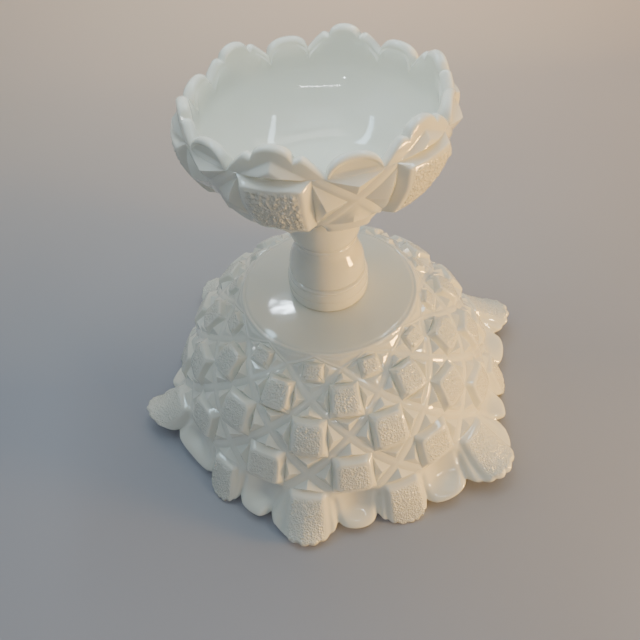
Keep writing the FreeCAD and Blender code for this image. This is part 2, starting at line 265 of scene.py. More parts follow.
def bowl_base(across, along):
    """A point of the bowl's smooth outer face, without the pattern."""
    degrees = COLUMN_START + PITCH * across
    radius = hermite(ROW_PLACES, ROW_RADII, np.minimum(along, SKIRT_PLACE))
    level = hermite(ROW_PLACES, ROW_LEVELS, np.minimum(along, SKIRT_PLACE))
    run = np.maximum(along - SKIRT_PLACE, 0) * SKIRT_ROW
    slope = math.radians(SKIRT_START_SLOPE)
    bend = 2 * (np.radians(round_the_rim(SKIRT_SLOPES, degrees)) - slope) / SKIRT_LENGTH
    bend = np.where(np.abs(bend) < NEARLY_STRAIGHT, NEARLY_STRAIGHT, bend)
    turned = slope + bend * run
    radius = radius + (np.sin(turned) - math.sin(slope)) / bend
    level = level + (np.cos(turned) - math.cos(slope)) / bend
    leaning = round_the_rim(SKIRT_LEANS, degrees) * (run / SKIRT_LENGTH) ** SKIRT_LEAN_POWER
    return polar(radius, degrees + leaning, level)


TABLE_GAP = 0.7
NUDGE = 0.004            # step along the surface that finds which way it faces


def raised_from(base, sign):
    """A function that maps (across, along, height, ...) to points off the base surface."""

    def place(coordinates):
        across, along, height = coordinates[:, 0], coordinates[:, 1], coordinates[:, 2]
        centre = base(across, along)
        sideways = base(across + NUDGE, along) - base(across - NUDGE, along)
        downwards = base(across, along + NUDGE) - base(across, along - NUDGE)
        normal = np.cross(sideways, downwards)
        normal /= np.linalg.norm(normal, axis=1)[:, None]
        placed = centre + normal * sign * height[:, None]
        # Nothing goes through the table: what would is pressed flat just above it.
        placed[:, 2] = (placed[:, 2] + np.sqrt(placed[:, 2] ** 2 + TABLE_GAP**2)) / 2
        return placed

    return place


# ---------------- one cell of the quilt

HALF_ACROSS = 0.5        # a cell's half width, in columns
BLOCK_ACROSS = 0.47      # half width of a block's root, as a share of the cell's half width
BLOCK_ALONG = 0.5        # half height of the root, as a share of the cell's half height
BLOCK_TOP = 0.78         # size of a block's top, as a share of its root
BOWL_BAND = 0.85         # where the flat band begins, counted from the cell's middle
FOOT_BAND = 0.89
APEX_SHARE = 0.36        # how far out a small pyramid's apex stands, as a share of the way
TOP_GRID = 22            # divisions of a block's stippled top, each way
LEG = 4                  # divisions of a pyramid's short side
BAND_STEPS = 2
BAND_CROWN = 0.4         # the bands are a little higher along their middle
CORNER_SHARPNESS = 6
STIPPLE_FADE = (0.78, 0.97)
GRAIN = np.random.default_rng(7)

# Rings from a block's flank to its stippled top: how much wider than the top each is, how far
# below it, and what share of the corner rounding it has.
BLOCK_ROUNDING = [(0.085, 1.35, 0.8), (0.055, 0.68, 0.95), (0.02, 0.2, 1.0), (-0.03, 0.0, 1.0)]

# The stippled drawing, in shares of the block's half width.
DAISY_PETALS = 10
DAISY_EYE = (0.1, 0.2)
DAISY_EYE_HEIGHT = 0.6
DAISY_PETALS_FROM = (0.14, 0.24)
DAISY_END = (0.48, 0.6)
PEBBLES_ROUND = 14
PEBBLE_RINGS = 5.6
PEBBLE_TURN = 1.0


def daisy(x, y):
    """Relief of a stippled face in [-1, 1]: a daisy with a smooth eye, and pebbles round it."""
    distance = np.hypot(x, y)
    angle = np.arctan2(y, x)
    eye = DAISY_EYE_HEIGHT * (1 - smoothstep(*DAISY_EYE, distance))
    petals = np.cos(DAISY_PETALS * angle) * smoothstep(*DAISY_PETALS_FROM, distance) + eye
    petals *= 1 - smoothstep(*DAISY_END, distance)
    pebbles = np.cos(PEBBLES_ROUND * angle + PEBBLE_TURN) * np.cos(PEBBLE_RINGS * math.pi * distance)
    pebbles *= smoothstep(*DAISY_END, distance)
    return petals + pebbles


def rounded_square(a, b, corner):
    """Pulls the corners of the square [-1, 1] x [-1, 1] inwards."""
    larger = max(abs(a), abs(b), 1e-9)
    ratio = min(abs(a), abs(b)) / larger
    pull = 1 - corner * ratio**CORNER_SHARPNESS * larger**2
    return a * pull, b * pull


class Cell:
    """One rhombic cell: bands round the edge, four small pyramids and the block."""

    def __init__(
        self, skin, centre, up=1.0, down=1.0, block=3.6, pyramid=2.8, stipple=0.17, grain=0.17,
        wide=BLOCK_ACROSS, band=BOWL_BAND, corner=0.09,
    ):
        self.skin = skin
        self.centre = centre
        self.up = up
        self.down = down
        self.block = block
        self.pyramid = pyramid
        self.stipple = stipple
        self.grain = grain
        self.wide = wide
        self.tall = BLOCK_ALONG
        self.band = band
        self.corner = corner

    def at(self, a, b, height=0.0, stipple=0.0):
        """Surface coordinates of a point given in the cell, from -1 to 1 each way."""
        reach = self.down if b > 0 else self.up
        return (self.centre[0] + HALF_ACROSS * a, self.centre[1] + reach * b, height, stipple)

    def bands(self, quadrants):
        """Flat bands. quadrants lists (sign across, sign along, "side", "tip" or "whole")."""
        inner_legs = self.band - self.tall, self.band - self.wide
        for x, y, extent in quadrants:
            side = path(
                self.at(x * self.band, 0), LEG,
                self.at(x * self.wide, y * inner_legs[1]), 1,
                self.at(x * self.wide, y * self.tall),
            )
            tip = path(
                self.at(x * self.wide, y * self.tall), 1,
                self.at(x * inner_legs[0], y * self.tall), LEG,
                self.at(0, y * self.band),
            )
            halves = {"side": [("side", side)], "tip": [("tip", tip)]}
            halves["whole"] = halves["side"] + halves["tip"]
            for half, inner in halves[extent]:
                ends = {"side": ((x, 0), (x * 0.5, y * 0.5)), "tip": ((x * 0.5, y * 0.5), (0, y))}
                start, end = ends[half]
                outer = line(self.at(*start, BAND_CROWN), self.at(*end, BAND_CROWN), LEG + 1)
                rows = [inner + (outer - inner) * step / BAND_STEPS for step in range(BAND_STEPS + 1)]
                self.skin.grid(rows)

    def pyramid_tip(self, y):
        """The pyramid between the block and the cell's corner above (-1) or below (1) it."""
        half = self.band - self.tall
        left, right = self.at(-half, y * self.tall), self.at(half, y * self.tall)
        point = self.at(0, y * self.band)
        apex = self.at(0, y * (self.tall + half * APEX_SHARE), self.pyramid)
        self.skin.triangle(left, point, apex, LEG)
        self.skin.triangle(point, right, apex, LEG)
        foot = path(left, LEG, self.at(0, y * self.tall), LEG, right)
        self.fan(foot, left, right, apex)

    def pyramid_side(self, x):
        """The pyramid between the block and the cell's left (-1) or right (1) corner."""
        half = self.band - self.wide
        top, bottom = self.at(x * self.wide, -half), self.at(x * self.wide, half)
        point = self.at(x * self.band, 0)
        apex = self.at(x * (self.wide + half * APEX_SHARE), 0, self.pyramid)
        self.skin.triangle(top, point, apex, LEG)
        self.skin.triangle(point, bottom, apex, LEG)
        foot = path(top, LEG, self.at(x * self.wide, 0), LEG, bottom)
        self.fan(foot, top, bottom, apex)

    def fan(self, foot, first, last, apex):
        """The facet of a pyramid that faces the block, whose foot has twice as many points."""
        first, last, apex = np.array(first), np.array(last), np.array(apex)
        inner = [
            first + (apex - first) / LEG + (last - first) * (1 - 1 / LEG) * step / (LEG - 1)
            for step in range(LEG)
        ]
        inner = np.array(inner)
        self.skin.stitch(foot, inner)
        self.skin.triangle(inner[0], inner[-1], apex, LEG - 1)

    def root(self):
        """The four sides of the block's root, each with the points that its neighbours need."""
        w, l = self.wide, self.tall
        wt, lt = self.band - self.tall, self.band - self.wide
        at = self.at
        top = path(at(-w, -l), 1, at(-wt, -l), LEG, at(0, -l), LEG, at(wt, -l), 1, at(w, -l))
        right = path(at(w, -l), 1, at(w, -lt), LEG, at(w, 0), LEG, at(w, lt), 1, at(w, l))
        bottom = path(at(w, l), 1, at(wt, l), LEG, at(0, l), LEG, at(-wt, l), 1, at(-w, l))
        left = path(at(-w, l), 1, at(-w, lt), LEG, at(-w, 0), LEG, at(-w, -lt), 1, at(-w, -l))
        return [top, right, bottom, left]

    def on_block(self, a, b, scale, height, corner, stipple=0.0):
        """A point of the block, given from -1 to 1 across its rounded outline."""
        a, b = rounded_square(a, b, corner)
        return self.at(a * self.wide * scale, b * self.tall * scale, height, stipple)

    def block_ring(self, scale, height, corner, count):
        """The four sides of a ring round the block at a scale and a height."""
        corners = [(-1, -1), (1, -1), (1, 1), (-1, 1)]
        sides = []
        for index in range(4):
            start, end = np.array(corners[index]), np.array(corners[(index + 1) % 4])
            shares = np.linspace(0, 1, count + 1)
            places = [start + (end - start) * share for share in shares]
            sides.append(np.array([self.on_block(*place, scale, height, corner) for place in places]))
        return sides

    def stippled_block(self, grid=TOP_GRID):
        """The raised block: bevelled sides, a rounded edge, and a stippled top."""
        rings = [
            self.block_ring(BLOCK_TOP + wider, self.block - lower, self.corner * share, grid)
            for wider, lower, share in BLOCK_ROUNDING
        ]
        for side, foot in enumerate(self.root()):
            self.skin.stitch(foot, rings[0][side])
            for lower, upper in zip(rings, rings[1:]):
                self.skin.grid([lower[side], upper[side]])
        scale = BLOCK_TOP + BLOCK_ROUNDING[-1][0]
        shares = np.linspace(-1, 1, grid + 1)
        rows = []
        for b in shares:
            row = []
            for a in shares:
                edge = 1 - smoothstep(*STIPPLE_FADE, max(abs(a), abs(b)))
                bump = float(daisy(a, b)) * self.stipple + GRAIN.uniform(-1, 1) * self.grain
                bump *= edge
                row.append(self.on_block(a, b, scale, self.block + bump, self.corner, edge))
            rows.append(row)
        self.skin.grid(rows)


# ---------------- the bowl

FLOOR_LEVEL = 72.0       # the bowl's floor, on the inside
FLOOR_FLAT_RADIUS = 40
FLOOR_INNER_RADII = (30, 18, 8, 0)
RIM_ROWS = 30
RIM_COLUMNS = 64
RIM_START_GAP = 0.02     # the rim strip begins this far below the pattern's last line
PATTERN_END = 3.5        # where the pattern gives way to the rim strip
NOTCH_PLACE = 4.475      # where the notches between petals and scoops are
PETAL_REACH = 0.425
PETAL_ROUNDNESS = (2.1, 0.85)  # powers that shape a petal's shoulders and its tip
PETAL_SCALLOP = 0.055
PETAL_SCALLOPS = 3.5     # fine scallops on each side of a petal's middle
SCOOP_REACH = 0.215
SCOOP_ROUNDNESS = 2.4
PETAL_RELIEF = 2.7       # how far a petal's stippled face stands off the rim
PETAL_THINNING = 0.45    # share of that relief which is lost towards the edge
PETAL_WAVE = 0.16
PETAL_WAVES = (50, 8)    # half waves of the petals' stippling in one unit, across and along
PETAL_GRAIN = 0.2
FOLD_AT_PATTERN = 0.25   # half width of a petal where the rim strip begins
FLANK_HEIGHT = (0.9, 8.0, 0.12, 0.3)  # least, growth with width, width that adds none, widest
DISH_DEPTH = 3.1         # how far a scoop is hollowed near the pattern
DISH_SWELL = 3.3         # how far it swells out at its edge
DISH_TURN = (4.02, 4.6)  # where it turns from the one to the other
GROOVE_DEPTH = -1.5      # the groove runs along the fold between petal and scoop
GROOVE_WIDTH = 0.036

# For each petal: how far it reaches to its left and to its right, how wide its raised part is,
# and how much further than usual it is drawn out.
PETALS_LEFT = np.array([0.41, 0.31, 0.34, 0.20, 0.33, 0.23, 0.33, 0.25, 0.38, 0.22, 0.37, 0.18])
PETALS_RIGHT = np.array([0.31, 0.22, 0.48, 0.21, 0.31, 0.24, 0.42, 0.21, 0.34, 0.24, 0.27, 0.22])
PETALS_TOP = np.array([0.18, 0.18, 0.18, 0.15, 0.18, 0.16, 0.18, 0.16, 0.18, 0.16, 0.19, 0.145])
PETALS_DRAWN = np.array([0.07, 0.02, 0.12, 0.0, 0.08, 0.02, 0.04, 0.0, 0.08, 0.0, 0.1, 0.0])


def rim_parts(across):
    """Offset from the nearest petal, its half width, top and reach, and place in the scoop."""
    nearest = np.round(across)
    petal = np.mod(nearest, COLUMNS).astype(int)
    offset = across - nearest
    half = np.where(offset < 0, PETALS_LEFT[petal], PETALS_RIGHT[petal])
    before = np.floor(across)
    left = PETALS_RIGHT[np.mod(before, COLUMNS).astype(int)]
    right = PETALS_LEFT[np.mod(before + 1, COLUMNS).astype(int)]
    centre = before + (left + 1 - right) / 2
    scoop = np.abs(across - centre) / ((1 - left - right) / 2)
    return offset, half, PETALS_TOP[petal], PETALS_DRAWN[petal], scoop


def rim_edge(across):
    """Where the rim ends along the face: scalloped petals at the columns, scoops between."""
    offset, half, _, drawn, scoop = rim_parts(across)
    share = np.clip(np.abs(offset) / half, 0, 1)
    shoulder, tip = PETAL_ROUNDNESS
    petal = NOTCH_PLACE + (PETAL_REACH + drawn) * np.clip(1 - share**shoulder, 0, 1) ** tip
    scallops = np.abs(np.cos(PETAL_SCALLOPS * math.pi * share)) - 0.5
    petal = petal + PETAL_SCALLOP * scallops * (1 - share**8)
    round_end = np.clip(1 - np.clip(scoop, 0, 1) ** SCOOP_ROUNDNESS, 0, 1)
    tongue = NOTCH_PLACE + SCOOP_REACH * np.sqrt(round_end)
    return np.where(np.abs(offset) < half, petal, tongue)


def rim_relief(across, along):
    """Height and stippling of the rim strip: raised stippled petals, dished smooth scoops."""
    offset, half, top, _, _ = rim_parts(across)
    down = np.clip((along - PATTERN_END) / (NOTCH_PLACE - PATTERN_END), 0, 1)
    fold = FOLD_AT_PATTERN + (half - FOLD_AT_PATTERN) * down
    away = np.abs(offset)
    top = top * (1 + 0.15 * down)
    begin = smoothstep(PATTERN_END, PATTERN_END + 0.15, along)

    plateau = (1 - smoothstep(top * 0.82, top * 1.18, away)) * begin
    fade = 1 - PETAL_THINNING * smoothstep(PATTERN_END + 0.45, rim_edge(across), along)
    inner = 1 - smoothstep(top * 0.7, top * 0.86, away)
    inner = inner * smoothstep(PATTERN_END + 0.14, PATTERN_END + 0.28, along)
    waves_across, waves_along = PETAL_WAVES
    wave = PETAL_WAVE * np.cos(waves_across * math.pi * offset) * np.cos(waves_along * math.pi * along)
    grain = PETAL_GRAIN * GRAIN.uniform(-1, 1, np.shape(across))
    petal = plateau * (PETAL_RELIEF * fade + (wave + grain) * inner)

    least, steepness, free, widest = FLANK_HEIGHT
    rise = least + steepness * np.clip(fold - top - free, 0, widest)
    middle = (top + fold) / 2
    flank = rise * smoothstep(top, middle, away) * (1 - smoothstep(middle, fold, away)) * down

    swelling = smoothstep(*DISH_TURN, along)
    dish = np.clip(1 - ((np.abs(away - fold) / (0.5 - fold + 0.001)) - 1) ** 2, 0, 1)
    dish = dish * (DISH_SWELL * swelling - DISH_DEPTH * (1 - swelling)) * begin
    groove = GROOVE_DEPTH * np.exp(-(((away - fold) / GROOVE_WIDTH) ** 2))
    groove = groove * smoothstep(PATTERN_END + 0.02, PATTERN_END + 0.4, along)
    height = np.where(away < fold, petal + flank, dish) + groove
    return height, np.where(away < fold, plateau * inner, 0.0)


WALL_AT_RIM = 3.6
WALL_EXTRA = 1.4         # how much thicker the wall is near the floor


def inner_drop(along):
    """Thickness of the wall under a place on the outer face."""
    return WALL_AT_RIM + WALL_EXTRA * (1 - smoothstep(1.0, 4.4, along))


def seam_places(first, last, band):
    """Places across where the pattern's last line has points, in one cell."""
    half = band - BLOCK_ALONG
    right = [half, BLOCK_ACROSS, (BLOCK_ACROSS + 0.5) / 2, 0.5]
    middle = np.linspace(-half, half, 2 * LEG + 1)[1:-1]
    shares = [-value for value in reversed(right)] + list(middle) + right
    centre = (first + last) / 2
    return [centre + share * (last - first) for share in shares]


def seam_ring(columns, along, band):
    """The points of a pattern's last line, all the way round, with the crowns of its bands."""
    places = []
    for column in range(columns):
        places += seam_places(column - 0.25, column + 0.25, band)[:-1]
        places += seam_places(column + 0.25, column + 0.75, band)[:-1]
    places = np.array(places + [columns - 0.25])
    middle = np.abs(np.mod(places, 0.5) - 0.25)
    crown = BAND_CROWN * np.clip(1 - middle / (0.25 - BLOCK_ACROSS / 2), 0, 1)
    return ring_of(places, along, crown)


QUARTERS = [(-1, -1), (1, -1), (1, 1), (-1, 1)]
HALF_CELL_APEX = 0.3


def full_cell(cell, grid=TOP_GRID):
    """A whole cell: bands, four pyramids and the block."""
    cell.bands([(x, y, "whole") for x, y in QUARTERS])
    cell.pyramid_side(-1)
    cell.pyramid_side(1)
    cell.pyramid_tip(-1)
    cell.pyramid_tip(1)
    cell.stippled_block(grid)


def half_cell(cell):
    """The lower half of a cell whose upper half is cut off: a band and one low pyramid."""
    count = 2 * (LEG + 1)
    left, right, point = cell.at(-cell.band, 0), cell.at(cell.band, 0), cell.at(0, cell.band)
    apex = cell.at(0, HALF_CELL_APEX, cell.pyramid)
    for side, corner in ((-1, left), (1, right)):
        inner = line(corner, point, count)
        outer = line(cell.at(side, 0, BAND_CROWN), cell.at(0, 1, BAND_CROWN), count)
        cell.skin.grid([inner + (outer - inner) * step / BAND_STEPS for step in range(BAND_STEPS + 1)])
        cell.skin.triangle(corner, point, apex, count)
    cell.skin.triangle(left, right, apex, count)


def add_quilt(skin):
    """The rows of cells from the disc down to the line where the rim strip begins."""
    for column in range(COLUMNS):
        half_cell(Cell(skin, (column + 0.5, -0.5), up=0.5, down=0.5, pyramid=0.5))
        smallest = Cell(
            skin, (column, 0), up=0.5, block=2.4, pyramid=1.1, stipple=0.03, grain=0.04, wide=0.4, corner=0.3,
        )
        full_cell(smallest, 16)
        full_cell(Cell(skin, (column + 0.5, 1), corner=0.2))
        full_cell(Cell(skin, (column, 2), corner=0.15))
        lowest = Cell(skin, (column + 0.5, 3), corner=0.12)
        lowest.bands([(-1, -1, "whole"), (1, -1, "whole"), (-1, 1, "side"), (1, 1, "side")])
        lowest.pyramid_side(-1)
        lowest.pyramid_side(1)
        lowest.pyramid_tip(-1)
        lowest.stippled_block()
        between = Cell(skin, (column, 4))
        between.bands([(-1, -1, "tip"), (1, -1, "tip")])
        between.pyramid_tip(-1)


LIP_ROWS = 7
LIP_BULGE = 0.085
INNER_COLUMNS = 240
INNER_ROWS = 26
INNER_START_GAP = 0.08
INNER_END = 0.35
ROUND_START = -0.25      # where the rings start, in columns


def add_lip(skin, row, edge, bulge, depth):
    """Rounds the edge of a wall from its outer row to its inner one, which it returns."""
    outer = row
    for step in range(1, LIP_ROWS + 1):
        turn = math.pi * step / LIP_ROWS
        middle, half = (outer[:, 2] - depth) / 2, (outer[:, 2] + depth) / 2
        following = ring_of(outer[:, 0], edge + bulge * math.sin(turn), middle + half * math.cos(turn))
        skin.grid([row, following])
        row = following
    return row


def add_rim(skin):
    """The rim strip, its rounded lip and the smooth inner wall."""
    across = np.linspace(ROUND_START, COLUMNS + ROUND_START, COLUMNS * RIM_COLUMNS + 1)
    edge = rim_edge(across) - LIP_BULGE
    start = PATTERN_END + RIM_START_GAP
    rows = []
    for share in np.linspace(0.0, 1.0, RIM_ROWS):
        along = start + (edge - start) * share
        height, stipple = rim_relief(across, along)
        rows.append(np.stack([across, along, height, stipple], axis=1))
    skin.stitch(seam_ring(COLUMNS, PATTERN_END, BOWL_BAND), rows[0])
    skin.grid(rows)
    lip_end = add_lip(skin, rows[-1], edge, LIP_BULGE, inner_drop(edge))
    coarse = np.linspace(ROUND_START, COLUMNS + ROUND_START, INNER_COLUMNS + 1)
    start = rim_edge(coarse) - LIP_BULGE - INNER_START_GAP
    rows = [lip_end]
    for share in np.linspace(0, 1, INNER_ROWS):
        along = start + (INNER_END - start) * share
        rows.append(ring_of(coarse, along, -inner_drop(along)))
    skin.stitch(rows[0], rows[1])
    skin.grid(rows[1:])
    return rows[-1]


def full_turn(degrees_from):
    """Angles all the way round, from one angle."""
    return np.linspace(0, 360, INNER_COLUMNS + 1) + degrees_from


def close_middle(skin, row, centre):
    """A fan of triangles from a ring to a point on the axis."""
    faces = [(index, index + 1, len(row)) for index in range(len(row) - 1)]
    skin.add(np.vstack([row, [centre]]), faces)


def add_turned(skin, outline, degrees_from=COLUMN_START):
    """Rings round the axis. outline lists (radius, level); a radius of 0 closes the middle."""
    skin.surface = turned_surface
    span = full_turn(degrees_from)
    rows = []
    for radius, level in outline:
        if radius > 0:
            rows.append(ring_of(span, radius, level))
        else:
            close_middle(skin, rows[-1], (degrees_from, 0.0, level, 0.0))
    skin.grid(rows)


def turned_surface(coordinates):
    """Maps (degrees, radius, level, ...) to points."""
    return polar(coordinates[:, 1], coordinates[:, 0], coordinates[:, 2])


def as_turned(points):
    """Turned coordinates (degrees, radius, level, 0) of points in space."""
    points = np.asarray(points)
    degrees = np.degrees(np.arctan2(points[:, 0], -points[:, 1]))
    degrees = np.degrees(np.unwrap(np.radians(degrees)))
    radius = np.hypot(points[:, 0], points[:, 1])
    return np.stack([degrees, radius, points[:, 2], 0 * radius], axis=1)


DISC_OUTLINE = [
    (47.45, 78.9), (47.2, 79.25), (46.9, 79.52), (46.55, 79.66), (46.2, 79.62), (45.9, 79.5), (45.65, 79.45),
    (45.4, 79.5), (45.1, 79.64), (44.8, 79.76), (44.5, 79.83), (44.1, 79.88), (43.6, 79.9), (42.0, 79.9),
    (38.0, 79.9), (32.0, 79.9), (25.0, 79.9), (18.0, 79.9), (9.0, 79.9), (0, 79.9),
]


FLOOR_BEND_SHARES = np.linspace(0.15, 1, 7)


def quilt_top():
    """The line of points where the quilt meets the disc, with the crowns of its bands."""
    left = [-1.0, -(1 + BOWL_BAND) / 2]
    middle = list(np.linspace(-BOWL_BAND, BOWL_BAND, 2 * (LEG + 1) + 1))
    shares = left + middle + [(1 + BOWL_BAND) / 2]
    crowns = [BAND_CROWN * max(0, (abs(share) - BOWL_BAND) / (1 - BOWL_BAND)) for share in shares]
    points = []
    for column in range(COLUMNS):
        points += [(column + 0.5 + 0.5 * share, -0.5, crown, 0) for share, crown in zip(shares, crowns)]
    points.append((COLUMNS, -0.5, BAND_CROWN, 0))
    return np.array(points)


def bowl_floor(radius, level):
    """The outline of the bowl's inside from the wall's end to the axis."""
    reach, climb = radius - FLOOR_FLAT_RADIUS, FLOOR_LEVEL - level
    outline = []
    for share in FLOOR_BEND_SHARES:
        bend = math.radians(90 * share)
        outline.append((radius - reach * math.sin(bend), FLOOR_LEVEL - climb * math.cos(bend)))
    return outline + [(inner, FLOOR_LEVEL) for inner in FLOOR_INNER_RADII]


def build_bowl(material):
    """The bowl: the quilt, the rim, the disc and the smooth inside."""
    skin = Skin()
    skin.surface = raised_from(bowl_base, -1)
    add_quilt(skin)
    inner_end = add_rim(skin)
    wall_end = as_turned(skin.surface(inner_end))
    disc_edge = as_turned(skin.surface(quilt_top()))
    add_turned(skin, DISC_OUTLINE)
    skin.stitch(disc_edge, ring_of(full_turn(COLUMN_START), *DISC_OUTLINE[0]))
    start = COLUMN_START + ROUND_START * PITCH
    floor = bowl_floor(wall_end[0, 1], wall_end[0, 2])
    add_turned(skin, floor, degrees_from=start)
    skin.grid([wall_end, ring_of(full_turn(start), *floor[0])])
    return make_object("bowl_shell", "bowl", skin, material)


# ---------------- the foot

FOOT_COLUMNS = 6
FOOT_START = -17.5
FOOT_PITCH = 360 / FOOT_COLUMNS
FOOT_PLACES = [-2.0, -1.5, -1.0, -0.5, 0.0, 0.5, 1.0, 1.25]
FOOT_RADII = [18.0, 25.9, 35.0, 44.3, 52.2, 52.9, 51.6, 51.1]
FOOT_LEVELS = [144.0, 145.7, 149.6, 155.9, 170.5, 180.6, 189.0, 192.8]
FOOT_PATTERN_END = 0.5
FOOT_PATTERN_START = -1.5
FOOT_NOTCH = 0.325       # where the scallops between the lobes begin, in columns from a lobe
FOOT_RIM_COLUMNS = 96
FOOT_RIM_ROWS = 22
FOOT_RIM_GAP = 0.01      # the rim strip begins this far above the pattern's last line
FOOT_WALL = 4.6
FOOT_LIP_BULGE = 0.10
FOOT_RING_GAP = 0.02

# The foot's edge: a lobe over each block (start, height, half width), a shoulder on each side
# (lowest, height, where it starts to fall, how wide it falls), a notch between the two (depth,
# outside, inside) and a scallop between the lobes (lowest, height, roundness).
LOBE = (0.89, 0.25, 0.128)
SHOULDER = (0.53, 0.40, 0.185, 0.14)
SHOULDER_POWER = 1.2
SHOULDER_NOTCH = (0.05, 0.17, 0.128)
SCALLOP = (0.53, 0.38, 2.3)

# Its rim's relief: a pyramid over each block (height, half width, length, outer slope, inner
# slope, where it is cut off) and a dished fan with a lip (height, where it starts, where full).
PYRAMID_ON_RIM = (3.0, 0.225, 0.36, 1.5, 3.2, 0.72)
FAN_DISH = -1.3
FAN_LIP = (0.9, 0.17, 0.12)


def foot_base(across, along):
    """A point of the foot's smooth outer face."""
    degrees = FOOT_START + FOOT_PITCH * across
    radius = hermite(FOOT_PLACES, FOOT_RADII, along)
    level = hermite(FOOT_PLACES, FOOT_LEVELS, along)
    return polar(radius, degrees, level)


def foot_edge(across):
    """Where the foot's rim ends: a round lobe with a shoulder each side, then a round scallop."""
    offset = np.abs(across - np.round(across))
    start, height, half = LOBE
    lobe = start + height * np.sqrt(np.clip(1 - (offset / half) ** 2, 0, 1))
    lowest, rise, fall, width = SHOULDER
    fallen = np.clip((offset - fall) / width, 0, 1) ** SHOULDER_POWER
    shoulder = lowest + rise * np.clip(1 - fallen, 0, 1)
    depth, outside, inside = SHOULDER_NOTCH
    shoulder = shoulder - depth * smoothstep(outside, inside, offset)
    arch = np.where(offset < half, lobe, shoulder)
    lowest, rise, roundness = SCALLOP
    share = np.clip((0.5 - offset) / (0.5 - FOOT_NOTCH), 0, 1)
    scallop = lowest + rise * np.sqrt(np.clip(1 - share**roundness, 0, 1))
    return np.where(offset < FOOT_NOTCH, arch, scallop)


def foot_relief(across, along):
    """Height of the foot's rim strip: a pyramid over each block, a dished fan over each crossing."""
    offset = np.abs(across - np.round(across))
    size, half_width, length, far_slope, near_slope, cut = PYRAMID_ON_RIM
    rise = (along - FOOT_PATTERN_END) / length
    far_side = (1 - offset / half_width - rise) * far_slope
    near_side = rise * near_slope
    pyramid = size * np.clip(np.minimum(far_side, near_side), 0, cut)
    reach = (0.5 - offset) / (0.5 - FOOT_NOTCH + 0.01)
    dish = FAN_DISH * np.clip(1 - reach**2, 0, 1) * smoothstep(FOOT_PATTERN_END, 0.58, along)
    lip_height, lip_start, lip_full = FAN_LIP
    edge = foot_edge(across)
    lip = lip_height * smoothstep(edge - lip_start, edge - lip_full, along)
    return np.where(offset < FOOT_NOTCH, pyramid, dish + lip * np.clip(1 - reach**6, 0, 1))


def add_foot_pattern(skin):
    """The rows of cells under the foot, from the stem out to where its rim strip begins."""
    for column in range(FOOT_COLUMNS):
        deepest = Cell(skin, (column, -2), block=1.6, pyramid=1.4, band=FOOT_BAND)
        deepest.bands([(-1, 1, "tip"), (1, 1, "tip")])
        deepest.pyramid_tip(1)
        middle = Cell(skin, (column + 0.5, -1), block=2.6, pyramid=2.0, band=FOOT_BAND)
        middle.bands([(-1, -1, "side"), (1, -1, "side"), (-1, 1, "whole"), (1, 1, "whole")])
        middle.pyramid_side(-1)
        middle.pyramid_side(1)
        middle.pyramid_tip(1)
        middle.stippled_block()
        main = Cell(
            skin, (column, 0), block=3.6, pyramid=3.2, stipple=0.36, grain=0.14, band=FOOT_BAND, corner=0.05,
        )
        main.bands([(-1, -1, "whole"), (1, -1, "whole"), (-1, 1, "side"), (1, 1, "side")])
        main.pyramid_side(-1)
        main.pyramid_side(1)
        main.pyramid_tip(-1)
        main.stippled_block(34)
        fan = Cell(skin, (column + 0.5, 1), pyramid=3.0, band=FOOT_BAND)
        fan.bands([(-1, -1, "tip"), (1, -1, "tip")])
        fan.pyramid_tip(-1)


# The foot's inside, from under its rim to its floor.
FOOT_HOLLOW = [
    (47.2, 183.0), (47.7, 179.0), (47.8, 175.0), (46.8, 171.5), (44.4, 166.2), (40.6, 160.6), (35.6, 155.8),
    (30.0, 152.3), (24.0, 150.2), (17.0, 149.5), (8.0, 149.5), (0, 149.5),
]

# The plain part under the foot, from its pattern in to the stem.
FOOT_NECK = [
    (23.5, 145.1), (22.5, 144.9), (20.5, 144.4), (18.6, 144.05), (17.6, 144.0), (9.0, 144.0), (0, 144.0),
]


def add_foot_rim(skin):
    """The foot's rim strip and its rounded lip. Returns the first ring of its inside."""
    across = np.linspace(ROUND_START, FOOT_COLUMNS + ROUND_START, FOOT_COLUMNS * FOOT_RIM_COLUMNS + 1)
    edge = foot_edge(across) - FOOT_LIP_BULGE
    start = FOOT_PATTERN_END + FOOT_RIM_GAP
    rows = []
    for share in np.linspace(0.0, 1.0, FOOT_RIM_ROWS):
        along = start + (edge - FOOT_PATTERN_END - FOOT_RIM_GAP) * share
        height = foot_relief(across, along) * smoothstep(0.0, 0.02, share)
        rows.append(ring_of(across, along, height))
    skin.stitch(seam_ring(FOOT_COLUMNS, FOOT_PATTERN_END, FOOT_BAND), rows[0])
    skin.grid(rows)
    lip_end = add_lip(skin, rows[-1], edge, FOOT_LIP_BULGE, FOOT_WALL)
    coarse = np.linspace(ROUND_START, FOOT_COLUMNS + ROUND_START, INNER_COLUMNS + 1)
    ring = ring_of(coarse, foot_edge(coarse) - FOOT_LIP_BULGE - FOOT_RING_GAP, -FOOT_WALL)
    skin.stitch(lip_end, ring)
    return as_turned(skin.surface(ring))


